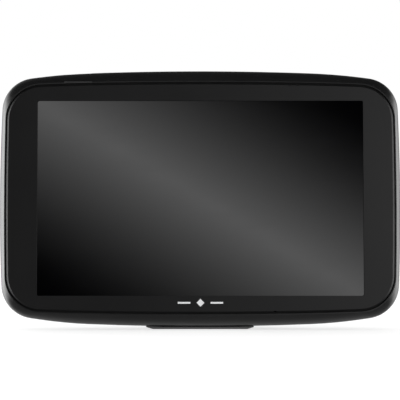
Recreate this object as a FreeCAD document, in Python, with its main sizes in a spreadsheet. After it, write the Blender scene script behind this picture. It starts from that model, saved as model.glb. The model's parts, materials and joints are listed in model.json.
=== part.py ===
"""Portable satellite navigator with its windscreen mount folded flat on the back.

Millimetres. X points to the viewer's right, Y away from the viewer, Z up.
The origin lies on the flat underside of the mount's foot, on its centre line.
"""
import FreeCAD, Part
import math
import os
import Sketcher
from FreeCAD import Placement, Rotation, Vector

doc = FreeCAD.newDocument("Navigator")
sheet = doc.addObject("Spreadsheet::Sheet", "Sizes")

# Single dimensions that several pieces share.
SHARED = {
    "body_z": 52.9,            # height of the middle of the housing above the table
    "panel_z": "=body_z - 0.1",  # the front panel sits slightly low in the frame
    "foot_width_top": 43.9,
    "foot_width_bottom": 38.2,
    "foot_front": -4.8,
    "foot_back": 10.4,
    "foot_height": 0.85,
    "pivot_y": 14.2,           # fold hinge of the mount
    "pivot_z": 7,
    "pin_radius": 1.5,
    "pin_slack": 0.05,         # room round the pin in the fixed ears and the washers
    "head_z": 52,              # middle of the round suction head
    "cup_radius": 30,
    "cup_front": 20,
    "cup_back": 22.6,
    "cup_hollow_radius": 280,
    "cup_hollow_depth": 1.4,
    "cup_flare": 4,            # the rim of the cup spreads this far
    "cup_flare_thick": 1.7,
    "tab_width": 12,           # lifting tab on top of the cup
    "tab_height": 8,
    "tab_thick": 0.8,
    "tab_root": 1.5,           # part of the tab inside the cup's rim
    "cross_pin_radius": 1,
    "cross_pin_slack": 0.03,
    "cross_pin_half": 25,
    "cross_pin_y": 15.9,
    "grip_count": 24,
    "case_screw_x": 74.4,
    "case_screw_z": 30,
    "board_screw_x": 37.5,
    "board_screw_z": 31,
    "bracket_screw_x": 10,
    "bracket_screw_z": 18.2,
    "head_screw_circle": 20,
    "slot_width": 0.4,         # cross recess of every screw
    "slot_depth": 0.4,
    "slot_share": 0.7,         # half length of the recess against the head's radius
    "overlap": 0.2,            # extra length where two joined pieces meet
    "button_x": -49,
    "mic_x": 29.9,
    "mic_z": "=body_z - 45.7",
    "sound_x": -42,            # middle of the loudspeaker
    "sound_z": "=body_z - 32.3",
    "vent_width": 1.2,
    "vent_tallest": 13,
    "vent_step": 1.6,          # each slot is this much shorter than its inner neighbour
    "vent_pitch": 2.4,
    "seal_thick": 0.85,        # soft strip that closes the gap round the front panel
    "mark_z": "=body_z - 42",
    "mark_thick": 0.04,
    "dash_width": 5,
    "dash_height": 0.7,
    "dash_start": 4,           # gap between the middle and each dash
    "lozenge_side": 2.2,
    "before_front": 14,        # sketches for cuts from the front start here
}

# Closed outlines with gently crowned edges: half width, half height, corner radius,
# crown radius, half length of the crown, shoulder radius, flank radius, depth, middle.
OUTLINE_WORDS = ("half_width", "half_height", "corner", "crown", "crown_half",
                 "shoulder", "flank", "depth", "middle")
OUTLINES = {
    "bezel_face": (76.85, 45.35, 13.2, 2100, 45, 900, 1500, -14, "=panel_z"),
    "bezel_edge": (77.55, 45.8, 13.8, 2100, 45, 900, 1500, -13.45, "=panel_z"),
    "bezel_back": (77.55, 45.8, 13.8, 2100, 45, 900, 1500, -11.8, "=panel_z"),
    "opening": (78, 46.5, 14.2, 2100, 45, 900, 1500, -11.7, "=panel_z"),
    "seal_outer": (77.95, 46.45, 14.15, 2100, 45, 900, 1500, -12.6, "=panel_z"),
    "seal_inner": (77.6, 45.85, 13.85, 2100, 45, 900, 1500, -12.6, "=panel_z"),
    "lip": (78.4, 46.9, 14.6, 2100, 45, 900, 1500, -13.4, "=panel_z"),
    "swell": (80.1, 49.85, 13.6, 1500, 45, 300, 1000, -10.6, "=body_z + 0.12"),
    "rim": (80.9, 51.8, 13.8, 1110, 45.2, 183, 640, -4.6, "=body_z - 0.05"),
    "room": (78.2, 48, 11.5, 1500, 45, 400, 1000, -9.6, "=body_z"),
    "shell_rim": (80.75, 51.7, 13.8, 1110, 45.2, 183, 640, -4.35, "=body_z - 0.05"),
    "shell_middle": (80.1, 50.8, 13.6, 1110, 45, 200, 640, 1, "=body_z"),
    "shell_turn": (77, 47.7, 13, 1200, 45, 230, 800, 5.6, "=body_z"),
    "shell_back": (71.5, 42.4, 12, 1400, 40, 300, 900, 8, "=body_z"),
    "hollow_rim": (79.1, 49.6, 11.7, 1110, 45, 200, 723, -4.35, "=body_z"),
    "hollow_middle": (78.2, 48.8, 12, 1110, 45, 210, 723, 1, "=body_z"),
    "hollow_back": (73.4, 44.3, 11.4, 1300, 42, 300, 850, 6.2, "=body_z"),
}

# Flat rectangles seen from the front: width, height, corner radius, middle in X,
# middle in Z, front face in Y, thickness.
FRONT_WORDS = ("width", "height", "corner", "x", "z", "low", "thick")
FRONT = {
    "window": (130.3, 77.95, 0.8, 0, "=body_z - 0.28", -14, 0.5),
    "panel_seat": (139.4, 85.6, 1.2, 0, "=body_z", -13.5, 1.7),
    "gasket": (138.4, 84.6, 1, 0, "=body_z", -13.5, 0.1),
    "gasket_window": (131.3, 78.9, 0.8, 0, "=body_z - 0.28", -13.5, 0.1),
    "touch": (138.8, 85, 1, 0, "=body_z", -13.4, 0.85),
    "tray": (138.8, 85, 1, 0, "=body_z", -12.45, 2.75),
    "tray_hollow": (138.2, 84.4, 0.8, 0, "=body_z", -12.45, 2.45),
    "liquid_cell": (137.8, 84, 0.6, 0, "=body_z", -12.4, 1.1),
    "light_guide": (137.4, 83.6, 0.6, 0, "=body_z", -11.25, 1.2),
    "ledge": (142, 86.8, 2, 0, "=body_z", -11.7, 2.1),
    "chassis": (142.6, 91.6, 8, 0, "=body_z", -9.55, 0.8),
    "board": (84, 70, 1.5, 28, "=body_z - 6", -5.1, 1),
    "processor": (32, 28, 1, 34, "=body_z + 6", -4.1, 2.6),
    "processor_room": (31.2, 27.2, 0.6, "=processor_x", "=processor_z", -4.1, 2.2),
    "memory": (22, 16, 1, 6, "=body_z + 12", -4.1, 2.1),
    "memory_room": (21.2, 15.2, 0.6, "=memory_x", "=memory_z", -4.1, 1.7),
    "thermal": (20, 20, 0.5, "=processor_x", "=processor_z", -1.5, 0.8),
    "battery": (50, 60, 2, -42, "=body_z + 8.5", -8.65, 6.4),
    "foam": (42, 50, 2, "=battery_x", "=battery_z", -2.25, 0.8),
    "plug": (5, 7, 0.4, -9, "=body_z - 4", -4.1, 3),
    "ribbon": (22, 14, 0.5, 20, "=body_z - 34", -8.7, 0.15),
    "antenna": (16, 16, 0.8, 54, "=body_z + 37.4", -6.6, 4),
    "antenna_shelf": (22, 13, 0.8, "=antenna_x", "=body_z + 36", -8.75, 2.1),
    "usb": (7.7, 8.4, 0.6, 50, "=body_z - 44.4", -4.05, 3.1),
    "usb_mouth": (6.9, 6, 0.4, "=usb_x", "=body_z - 46", -3.65, 2.3),
    "card": (14, 13.6, 0.6, 20, "=body_z - 41.7", -4.05, 1.9),
    "card_mouth": (11.4, 12, 0.3, "=card_x", "=body_z - 43", -3.6, 1),
    "switch": (6, 3.2, 0.4, "=button_x", "=body_z + 42.6", -8.3, 3.4),
    "pipe_seat": (11.3, 0.5, 0.2, "=button_x", "=panel_z + 46.4", -13.4, 1.5),
    "status_pipe": (11.2, 0.4, 0.15, "=button_x", "=panel_z + 46.4", -13.3, 1.38),
    "notch_left": (0.9, 1.2, 0.3, 35.9, "=panel_z + 45.2", -14, 1),
    "notch_right": (0.9, 1.2, 0.3, 39.1, "=panel_z + 45.2", -14, 1),
    "upright": (36, 24.5, 2, 0, 12.75, 8.2, 2.2),
    "label_seat": (28, 13, 1.6, 46, "=body_z - 22", 7.75, 0.3),
    "label_plate": (27.4, 12.4, 1.4, 46, "=body_z - 22", 7.76, 0.2),
    "arm_dish": (16, 5.6, 1.2, 0, 14.2, 15.8, 0.8),
    "arm_low": (24, 12.2, 2, 0, 12.1, 11, 5.4),
    "arm_high": (30, 17, 2, 0, 23.5, 10.8, 2.2),
    "pin_track": (52.6, 2.3, 0.3, 0, "=head_z", 13.4, 4.1),
}
# Loudspeaker slots through the back, the middle one longest.
VENT_COUNT = 7
for number in range(VENT_COUNT):
    away = number - (VENT_COUNT - 1) // 2
    tall = "=vent_tallest - vent_step * %d" % abs(away)
    across = "=sound_x + vent_pitch * %d" % away
    FRONT["vent_%d" % number] = ("=vent_width", tall, 0.55, across, "=sound_z", 5.9, 2.4)
# The same seen from above: middle in X, middle in Y, lowest Z, height.
ABOVE_WORDS = ("width", "height", "corner", "x", "y", "low", "thick")
ABOVE = {
    "button_cap": (10.8, 2.6, 1.2, "=button_x", -6.6, "=body_z + 45.6", 4.3),
    "button_flange": (13.4, 3.4, 1.5, "=button_x", -6.6, "=body_z + 44.8", 0.9),
    "button_slot": (11.2, 2.8, 1.3, "=button_x", -6.6, "=body_z + 44", 9),
    "usb_slot": (8.2, 3.4, 0.8, "=usb_x", -2.5, 0, 6),
    "card_slot": (12.4, 1.6, 0.5, "=card_x", -3.1, 0, 6),
}
# The same seen from the side: depth, height, middle in Y, middle in Z, lowest X.
SIDE_WORDS = ("width", "height", "corner", "y", "z", "low", "thick")
SIDE = {
    "ear_right": (7.5, 8.8, 1.2, 14.05, "=pivot_z", 15.2, 3.2),
    "ear_left": (7.5, 8.8, 1.2, 14.05, "=pivot_z", -18.4, 3.2),
}
# Round features: radius, two middles, lowest position along the axis, length.
ROUND_WORDS = ("radius", "x", "z", "low", "thick")
ROUND = {
    "mic_hole": (0.6, "=mic_x", "=mic_z", -14, 4.45),
    "chassis_mic": (0.9, "=mic_x", "=mic_z", -9.55, 0.8),
    "mic_boot": (1.9, "=mic_x", "=mic_z", -8.7, 0.8),
    "mic_bore": (0.6, "=mic_x", "=mic_z", -8.7, 0.8),
    "microphone": (1.8, "=mic_x", "=mic_z", -7.85, 1.3),
    "speaker": (11, "=sound_x", "=sound_z", 0.4, 5.1),
    "speaker_back": (8.2, "=sound_x", "=sound_z", -1.6, 2),
    "speaker_cone": (8.6, "=sound_x", "=sound_z", 4.3, 1.2),
    "speaker_ring": (10.6, "=sound_x", "=sound_z", 5.52, 0.44),
    "speaker_ring_bore": (8.8, "=sound_x", "=sound_z", 5.52, 0.44),
    "speaker_mesh": (10.4, "=sound_x", "=sound_z", 5.98, 0.18),
    "head_plate": (30, 0, "=head_z", 10.8, 2.2),
    "hub": (26, 0, "=head_z", 13, 4.4),
    "hub_bore": (5.1, 0, "=head_z", 13, 4.4),
    "retainer": (28.6, 0, "=head_z", 17.45, 1.15),
    "retainer_bore": (5.1, 0, "=head_z", 17.45, 1.15),
    "ring_outer": (31.4, 0, 0, 13.25, 4),
    "ring_inner": (26.3, 0, 0, 13.25, 4),
    "ring_grip": (0.9, 31.9, 0, 13.25, 4),
    "stem": (5, 0, "=head_z", 14.4, 5.6),
}
# Round features on the fold hinge's own axis: radius, lowest X, length.
HINGE_WORDS = ("radius", "low", "thick")
HINGE = {
    "pin_passage": ("=pin_radius + pin_slack", -19, 38),
    "barrel": ("=pin_radius + 2.1", -14.7, 29.4),
    "bore": ("=pin_radius + 0.08", -15, 30),
    "hinge_rod": ("=pin_radius", -18.6, 37.2),
    "washer_right": (3.4, 14.75, 0.4),
    "washer_left": (3.4, -15.15, 0.4),
}
# Round features repeated at every screw of a set: radius, front end in Y, length.
HOLE_WORDS = ("radius", "low", "thick")
HOLES = {
    "post": (2.6, -10.1, 5.4),
    "thread": (0.95, -8.2, 4),
    "pillar": (2.6, -4.3, 8.3),
    "passage": (1.05, -4.4, 12.5),
    "sink": (1.95, 0.9, 9),
    "socket": (2.8, 2.2, 4.4),
    "insert": (1.05, 3.4, 4.8),
    "standoff": (2, -8.85, 3.7),
    "tap": (0.95, -9.6, 4.6),
    "board_hole": (1.1, -5.2, 1.3),
    "sleeve": (1.1, 8, 2.6),
    "seat": (2, 9.2, 1.4),
    "pilot": (1.05, 13.6, 3.9),
    "retainer_hole": (1.1, 17.4, 1.4),
    "head_seat": (1.9, 18, 0.8),
}
# Screws: head radius, front of the head in Y, head thickness, shank radius, shank tip in Y.
SCREW_WORDS = ("head_radius", "head_low", "head_thick", "shank_radius", "shank_low")
SCREWS = {
    "case_screws": (1.8, 1, 1.2, 0.88, -8),
    "board_screws": (1.7, -4.05, 0.9, 0.88, -8.6),
    "bracket_screws": (1.85, 9.25, 1.1, 0.95, 3.8),
    "head_screws": (1.7, 18.05, 0.6, 0.95, 14),
}


def store(alias, value):
    """Put one dimension in the next row of the spreadsheet under a plain-word alias."""
    row = len(stored) + 1
    stored.append(alias)
    sheet.set("A%d" % row, alias)
    sheet.set("B%d" % row, str(value))
    sheet.setAlias("B%d" % row, alias)


def store_table(table, words):
    """Store every named row of a table as aliases such as battery_width."""
    for name, values in table.items():
        for word, value in zip(words, values):
            store(name + "_" + word, value)


def size(alias):
    """Current number behind an alias."""
    return float(sheet.get(alias))


def new_body(label):
    """An empty PartDesign body carrying the sub-part's name."""
    body = doc.addObject("PartDesign::Body", "Body_" + label)
    body.Label = label
    parts.append(body)
    return body


def sketch_on(body, name, plane, offset, across, up):
    """A sketch on one of the body's own origin planes, pushed along its normal."""
    sketch = body.newObject("Sketcher::SketchObject", name)
    origin_plane = [item for item in body.Origin.OriginFeatures if item.Role == plane][0]
    sketch.AttachmentSupport = [(origin_plane, "")]
    sketch.MapMode = "FlatFace"
    sketch.setExpression("AttachmentOffset.Base.x", across)
    sketch.setExpression("AttachmentOffset.Base.y", up)
    sketch.setExpression("AttachmentOffset.Base.z", offset)
    return sketch


def hold(sketch, name, constraint, expression):
    """Add a named constraint driven by a spreadsheet expression."""
    index = sketch.addConstraint(constraint)
    sketch.renameConstraint(index, name)
    sketch.setExpression("Constraints." + name, expression)


def arc(centre, radius, start, end):
    """Anticlockwise arc between two points."""
    first = math.atan2(start.y - centre.y, start.x - centre.x)
    last = math.atan2(end.y - centre.y, end.x - centre.x)
    if last < first:
        last += 2 * math.pi
    return Part.ArcOfCircle(Part.Circle(centre, Vector(0, 0, 1), radius), first, last)


def draw_outline(sketch, name):
    """Twelve tangent arcs: crown, shoulders, corners and flanks, symmetric both ways."""
    half_width = size(name + "_half_width")
    half_height = size(name + "_half_height")
    corner = size(name + "_corner")
    crown = size(name + "_crown")
    crown_half = size(name + "_crown_half")
    shoulder = size(name + "_shoulder")
    flank = size(name + "_flank")
    top = Vector(0, half_height - crown, 0)
    joint = Vector(crown_half, top.y + math.sqrt(crown ** 2 - crown_half ** 2), 0)
    shoulder_centre = joint + (top - joint) * (shoulder / crown)
    side = Vector(half_width - flank, 0, 0)
    # The corner centre lies at known distances from the shoulder and flank centres.
    reach_one = shoulder - corner
    reach_two = flank - corner
    span = side - shoulder_centre
    direction = span * (1 / span.Length)
    along = (reach_one ** 2 - reach_two ** 2 + span.Length ** 2) / (2 * span.Length)
    away = math.sqrt(reach_one ** 2 - along ** 2)
    normal = Vector(-direction.y, direction.x, 0)
    corner_centre = shoulder_centre + direction * along + normal * away
    if corner_centre.x < 0 or corner_centre.y < 0:
        corner_centre = shoulder_centre + direction * along - normal * away
    outward = corner_centre - shoulder_centre
    high = shoulder_centre + outward * (shoulder / outward.Length)
    outward = corner_centre - side
    low = side + outward * (flank / outward.Length)

    def left(point):
        return Vector(-point.x, point.y, 0)

    def down(point):
        return Vector(point.x, -point.y, 0)

    def both(point):
        return Vector(-point.x, -point.y, 0)

    sketch.addGeometry([
        arc(side, flank, down(low), low),
        arc(corner_centre, corner, low, high),
        arc(shoulder_centre, shoulder, high, joint),
        arc(top, crown, joint, left(joint)),
        arc(left(shoulder_centre), shoulder, left(joint), left(high)),
        arc(left(corner_centre), corner, left(high), left(low)),
        arc(left(side), flank, left(low), both(low)),
        arc(both(corner_centre), corner, both(low), both(high)),
        arc(both(shoulder_centre), shoulder, both(high), both(joint)),
        arc(down(top), crown, both(joint), down(joint)),
        arc(down(shoulder_centre), shoulder, down(joint), down(high)),
        arc(down(corner_centre), corner, down(high), down(low)),
    ], False)
    ties = [Sketcher.Constraint("Tangent", k, 2, (k + 1) % 12, 1) for k in range(12)]
    ties += [Sketcher.Constraint("PointOnObject", k, 3, -2) for k in (3, 9)]
    ties += [Sketcher.Constraint("PointOnObject", k, 3, -1) for k in (0, 6)]
    ties += [Sketcher.Constraint("Equal", 3, 9), Sketcher.Constraint("Equal", 0, 6)]
    ties += [Sketcher.Constraint("Equal", 2, k) for k in (4, 8, 10)]
    ties += [Sketcher.Constraint("Equal", 1, k) for k in (5, 7, 11)]
    sketch.addConstraint(ties)
    prefix = "Sizes." + name + "_"
    hold(sketch, "crown", Sketcher.Constraint("Radius", 3, crown), prefix + "crown")
    hold(sketch, "flank", Sketcher.Constraint("Radius", 0, flank), prefix + "flank")
    hold(sketch, "shoulder", Sketcher.Constraint("Radius", 2, shoulder), prefix + "shoulder")
    hold(sketch, "corner", Sketcher.Constraint("Radius", 1, corner), prefix + "corner")
    rise = prefix + "crown - " + prefix + "half_height"
    reach = prefix + "flank - " + prefix + "half_width"
    hold(sketch, "top", Sketcher.Constraint("DistanceY", 3, 3, -1, 1, crown - half_height), rise)
    hold(sketch, "bottom", Sketcher.Constraint("DistanceY", -1, 1, 9, 3, crown - half_height), rise)
    hold(sketch, "right", Sketcher.Constraint("DistanceX", 0, 3, -1, 1, flank - half_width), reach)
    hold(sketch, "left", Sketcher.Constraint("DistanceX", -1, 1, 6, 3, flank - half_width), reach)
    ends = ((3, 1, True), (3, 2, False), (9, 2, True), (9, 1, False))
    for number, (edge, point, on_right) in enumerate(ends):
        if on_right:
            span = Sketcher.Constraint("DistanceX", -1, 1, edge, point, crown_half)
        else:
            span = Sketcher.Constraint("DistanceX", edge, point, -1, 1, crown_half)
        hold(sketch, "crown_end_%d" % number, span, prefix + "crown_half")


def outline(body, name):
    """Outline sketch facing the viewer, at its own depth."""
    depth = "-Sizes." + name + "_depth"
    sketch = sketch_on(body, "Outline_" + name, "XZ_Plane", depth, "0", "Sizes." + name + "_middle")
    draw_outline(sketch, name)
    return sketch


def draw_rectangle(sketch, name):
    """Rounded rectangle centred on the sketch origin."""
    half_width = size(name + "_width") / 2
    half_height = size(name + "_height") / 2
    corner = size(name + "_corner")
    inner_x = half_width - corner
    inner_y = half_height - corner
    ends = [
        (Vector(half_width, -inner_y, 0), Vector(half_width, inner_y, 0)),
        (Vector(inner_x, half_height, 0), Vector(-inner_x, half_height, 0)),
        (Vector(-half_width, inner_y, 0), Vector(-half_width, -inner_y, 0)),
        (Vector(-inner_x, -half_height, 0), Vector(inner_x, -half_height, 0)),
    ]
    centres = [
        Vector(inner_x, inner_y, 0),
        Vector(-inner_x, inner_y, 0),
        Vector(-inner_x, -inner_y, 0),
        Vector(inner_x, -inner_y, 0),
    ]
    shapes = []
    for number in range(4):
        start, end = ends[number]
        after = ends[(number + 1) % 4][0]
        shapes.append(Part.LineSegment(start, end))
        shapes.append(arc(centres[number], corner, end, after))
    sketch.addGeometry(shapes, False)
    ties = [Sketcher.Constraint("Tangent", k, 2, (k + 1) % 8, 1) for k in range(8)]
    ties += [Sketcher.Constraint("Vertical", k) for k in (0, 4)]
    ties += [Sketcher.Constraint("Horizontal", k) for k in (2, 6)]
    ties += [Sketcher.Constraint("Equal", 1, k) for k in (3, 5, 7)]
    ties += [Sketcher.Constraint("Symmetric", 1, 3, 5, 3, -1, 1)]
    sketch.addConstraint(ties)
    prefix = "Sizes." + name + "_"
    hold(sketch, "wide", Sketcher.Constraint("DistanceX", 4, 1, 0, 1, 2 * half_width),
         prefix + "width")
    hold(sketch, "tall", Sketcher.Constraint("DistanceY", 6, 1, 2, 1, 2 * half_height),
         prefix + "height")
    hold(sketch, "corner", Sketcher.Constraint("Radius", 1, corner), prefix + "corner")


def draw_circle(sketch, name):
    """Circle centred on the sketch origin."""
    radius = size(name + "_radius")
    sketch.addGeometry(Part.Circle(Vector(), Vector(0, 0, 1), radius), False)
    sketch.addConstraint(Sketcher.Constraint("Coincident", 0, 3, -1, 1))
    hold(sketch, "round", Sketcher.Constraint("Radius", 0, radius), "Sizes." + name + "_radius")


def feature(body, name, removes):
    """Pad or pocket one row of the FRONT, ABOVE, SIDE, ROUND or HINGE tables."""
    prefix = "Sizes." + name + "_"
    low = prefix + "low"
    high = prefix + "low + " + prefix + "thick"
    if name in ABOVE:
        offset = high if removes else low
        sketch = sketch_on(body, "Draw_" + name, "XY_Plane", offset, prefix + "x", prefix + "y")
    elif name in SIDE:
        offset = high if removes else low
        sketch = sketch_on(body, "Draw_" + name, "YZ_Plane", offset, prefix + "y", prefix + "z")
    elif name in HINGE:
        offset = high if removes else low
        sketch = sketch_on(body, "Draw_" + name, "YZ_Plane", offset, "Sizes.pivot_y",
                           "Sizes.pivot_z")
    else:
        offset = "-(" + (low if removes else high) + ")"
        sketch = sketch_on(body, "Draw_" + name, "XZ_Plane", offset, prefix + "x", prefix + "z")
    if name in ROUND or name in HINGE:
        draw_circle(sketch, name)
    else:
        draw_rectangle(sketch, name)
    kind = "PartDesign::Pocket" if removes else "PartDesign::Pad"
    return extrude(body, kind, name, sketch, prefix + "thick")


def extrude(body, kind, name, sketch, length):
    """Pad or pocket a finished sketch by a spreadsheet length."""
    result = body.newObject(kind, "Solid_" + name)
    result.Profile = sketch
    result.setExpression("Length", length)
    sketch.Visibility = False
    return result


def add(body, *names):
    """Pad several table rows in turn."""
    for name in names:
        feature(body, name, False)


def remove(body, *names):
    """Pocket several table rows in turn."""
    for name in names:
        feature(body, name, True)


def loft(body, kind, name, sections, straight):
    """Blend a body through outlines from front to back."""
    sketches = [outline(body, section) for section in sections]
    result = body.newObject(kind, "Loft_" + name)
    result.Profile = sketches[0]
    result.Sections = sketches[1:]
    result.Ruled = straight
    result.Closed = False
    return result


def rod(name, radius, length, start, axis):
    """Part cylinder from a start point along X, Y or Z; sizes are expressions."""
    solid = doc.addObject("Part::Cylinder", name)
    solid.setExpression("Radius", radius)
    solid.setExpression("Height", length)
    turns = {"X": Rotation(Vector(0, 1, 0), 90), "Y": Rotation(Vector(1, 0, 0), -90),
             "Z": Rotation()}
    solid.Placement = Placement(Vector(), turns[axis])
    for letter, value in zip("xyz", start):
        solid.setExpression("Placement.Base." + letter, value)
    return solid


def block(name, sizes, corner):
    """Part box from its low corner; sizes and corner are expressions."""
    solid = doc.addObject("Part::Box", name)
    for word, value in zip(("Length", "Width", "Height"), sizes):
        solid.setExpression(word, value)
    for letter, value in zip("xyz", corner):
        solid.setExpression("Placement.Base." + letter, value)
    return solid


def fuse(name, shapes):
    """Union of several Part objects."""
    result = doc.addObject("Part::MultiFuse", name)
    result.Shapes = shapes
    return result


def cut(name, base, tools):
    """Base minus every tool."""
    result = doc.addObject("Part::Cut", name)
    result.Base = base
    result.Tool = tools[0] if len(tools) == 1 else fuse(name + "_tools", tools)
    return result


def keep(result, label):
    """Name a finished Part object as one sub-part."""
    result.Label = label
    parts.append(result)
    return result


def case_screw_spots():
    """Four places near the housing corners, as expressions."""
    return [("%s * Sizes.case_screw_x" % a, "Sizes.body_z + %s * Sizes.case_screw_z" % b)
            for a in ("1", "-1") for b in ("1", "-1")]


def board_screw_spots():
    """Four places near the circuit board's corners, as expressions."""
    return [("Sizes.board_x + %s * Sizes.board_screw_x" % a,
             "Sizes.board_z + %s * Sizes.board_screw_z" % b)
            for a in ("1", "-1") for b in ("1", "-1")]


def bracket_screw_spots():
    """Two places where the mount's plate is screwed to the back, as expressions."""
    return [(x, "Sizes.bracket_screw_z") for x in ("Sizes.bracket_screw_x", "-Sizes.bracket_screw_x")]


def head_screw_spots():
    """Three places around the suction head, as expressions."""
    return [("Sizes.head_screw_circle * cos(%d deg)" % angle,
             "Sizes.head_z + Sizes.head_screw_circle * sin(%d deg)" % angle)
            for angle in (90, 210, 330)]


def rounds(body, name, spots, removes):
    """One row of the HOLES table, padded or pocketed at every spot."""
    prefix = "Sizes." + name + "_"
    start = prefix + "low" if removes else prefix + "low + " + prefix + "thick"
    kind = "PartDesign::Pocket" if removes else "PartDesign::Pad"
    for number, (across, up) in enumerate(spots):
        numbered = "%s_%d" % (name, number)
        sketch = sketch_on(body, "Draw_" + numbered, "XZ_Plane", "-(%s)" % start, across, up)
        draw_circle(sketch, name)
        extrude(body, kind, numbered, sketch, prefix + "thick")


def make_front_frame():
    body = new_body("front_frame")
    loft(body, "PartDesign::AdditiveLoft", "frame", ("lip", "swell", "rim"), False)
    sketch = sketch_on(body, "Draw_opening", "XZ_Plane", "Sizes.before_front", "0",
                       "Sizes.opening_middle")
    draw_outline(sketch, "opening")
    extrude(body, "PartDesign::Pocket", "opening", sketch,
            "Sizes.before_front + Sizes.opening_depth")
    remove(body, "ledge")
    sketch = outline(body, "room")
    extrude(body, "PartDesign::Pocket", "room", sketch, "Sizes.rim_depth - Sizes.room_depth")
    rounds(body, "post", case_screw_spots(), False)
    rounds(body, "thread", case_screw_spots(), True)
    remove(body, "button_slot", "pipe_seat", "mic_hole")


def make_front_bezel():
    body = new_body("front_bezel")
    loft(body, "PartDesign::AdditiveLoft", "bezel", ("bezel_face", "bezel_edge", "bezel_back"), True)
    remove(body, "panel_seat", "window", "mic_hole", "notch_left", "notch_right")


def make_seal():
    """Thin closed strip of foam on the frame's ledge, just outside the front panel."""
    body = new_body("edge_seal")
    strip = extrude(body, "PartDesign::Pad", "seal", outline(body, "seal_outer"), "Sizes.seal_thick")
    strip.Reversed = True
    extrude(body, "PartDesign::Pocket", "seal_room", outline(body, "seal_inner"), "Sizes.seal_thick")


def make_rear_shell():
    body = new_body("rear_shell")
    outer = ("shell_rim", "shell_middle", "shell_turn", "shell_back")
    loft(body, "PartDesign::AdditiveLoft", "shell", outer, False)
    inner = ("hollow_rim", "hollow_middle", "hollow_back")
    loft(body, "PartDesign::SubtractiveLoft", "hollow", inner, False)
    rounds(body, "pillar", case_screw_spots(), False)
    rounds(body, "passage", case_screw_spots(), True)
    rounds(body, "sink", case_screw_spots(), True)
    rounds(body, "socket", bracket_screw_spots(), False)
    rounds(body, "insert", bracket_screw_spots(), True)
    remove(body, "usb_slot", "card_slot", "label_seat")
    remove(body, *["vent_%d" % number for number in range(VENT_COUNT)])


def make_plain(label, adds, removes):
    """Sub-part made only of table rows."""
    body = new_body(label)
    add(body, *adds)
    remove(body, *removes)
    return body


def make_chassis():
    body = make_plain("chassis_plate", ["chassis"], ["chassis_mic"])
    rounds(body, "standoff", board_screw_spots(), False)
    rounds(body, "tap", board_screw_spots(), True)


def make_board():
    body = make_plain("main_board", ["board"], [])
    rounds(body, "board_hole", board_screw_spots(), True)


def screws(label, spots):
    """One row of the SCREWS table: pan-head screws pointing at the viewer, heads at the back."""
    prefix = "Sizes." + label + "_"
    head_low = prefix + "head_low"
    shank_low = prefix + "shank_low"
    reach = "(Sizes.slot_share * %shead_radius)" % prefix
    half = "Sizes.slot_width / 2"
    floor = "%s + %shead_thick - Sizes.slot_depth" % (head_low, prefix)
    deep = "Sizes.slot_depth + Sizes.overlap"
    solids = []
    for number, (across, up) in enumerate(spots):
        name = "%s_%d" % (label, number)
        head = rod(name + "_head", prefix + "head_radius", prefix + "head_thick",
                   (across, head_low, up), "Y")
        shank = rod(name + "_shank", prefix + "shank_radius",
                    "%s - %s + Sizes.overlap" % (head_low, shank_low), (across, shank_low, up), "Y")
        upright = block(name + "_slot", ("Sizes.slot_width", deep, "2 * " + reach),
                        ("%s - %s" % (across, half), floor, "%s - %s" % (up, reach)))
        level = block(name + "_cross", ("2 * " + reach, deep, "Sizes.slot_width"),
                      ("%s - %s" % (across, reach), floor, "%s - %s" % (up, half)))
        solids.append(cut(name, fuse(name + "_whole", [head, shank]), [upright, level]))
    group = doc.addObject("Part::Compound", label)
    group.Links = solids
    keep(group, label)


def make_mark():
    """Plain decoration on the lower panel: a lozenge between two dashes."""
    face = "Sizes.bezel_face_depth - Sizes.mark_thick"
    starts = ("Sizes.dash_start", "-Sizes.dash_start - Sizes.dash_width")
    dashes = [block("dash_%d" % number, ("Sizes.dash_width", "Sizes.mark_thick", "Sizes.dash_height"),
                    (start, face, "Sizes.mark_z - Sizes.dash_height / 2"))
              for number, start in enumerate(starts)]
    lozenge = block("lozenge", ("Sizes.lozenge_side", "Sizes.mark_thick", "Sizes.lozenge_side"),
                    ("-Sizes.lozenge_side / sqrt(2)", face, "Sizes.mark_z"))
    lozenge.Placement = Placement(lozenge.Placement.Base, Rotation(Vector(0, 1, 0), 45))
    group = doc.addObject("Part::Compound", "front_mark")
    group.Links = dashes + [lozenge]
    keep(group, "front_mark")


def make_bracket():
    """Foot under the housing, plate on its back and two hinge ears."""
    body = new_body("mount_bracket")
    sketch = sketch_on(body, "Draw_foot", "XZ_Plane", "-Sizes.foot_back", "0", "0")
    wide = size("foot_width_top") / 2
    narrow = size("foot_width_bottom") / 2
    height = size("foot_height")
    points = [Vector(-narrow, 0, 0), Vector(narrow, 0, 0), Vector(wide, height, 0),
              Vector(-wide, height, 0)]
    sketch.addGeometry([Part.LineSegment(points[k], points[(k + 1) % 4]) for k in range(4)], False)
    ties = [Sketcher.Constraint("Coincident", k, 2, (k + 1) % 4, 1) for k in range(4)]
    ties += [Sketcher.Constraint("PointOnObject", 0, 1, -1)]
    ties += [Sketcher.Constraint("Symmetric", k, 1, k, 2, -2) for k in (0, 2)]
    sketch.addConstraint(ties)
    hold(sketch, "narrow", Sketcher.Constraint("DistanceX", 0, 1, 0, 2, 2 * narrow),
         "Sizes.foot_width_bottom")
    hold(sketch, "wide", Sketcher.Constraint("DistanceX", 2, 2, 2, 1, 2 * wide),
         "Sizes.foot_width_top")
    hold(sketch, "high", Sketcher.Constraint("DistanceY", 0, 2, 1, 2, height), "Sizes.foot_height")
    extrude(body, "PartDesign::Pad", "foot", sketch, "Sizes.foot_back - Sizes.foot_front")
    add(body, "upright", "ear_right", "ear_left")
    remove(body, "pin_passage")
    rounds(body, "sleeve", bracket_screw_spots(), True)
    rounds(body, "seat", bracket_screw_spots(), True)


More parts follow.
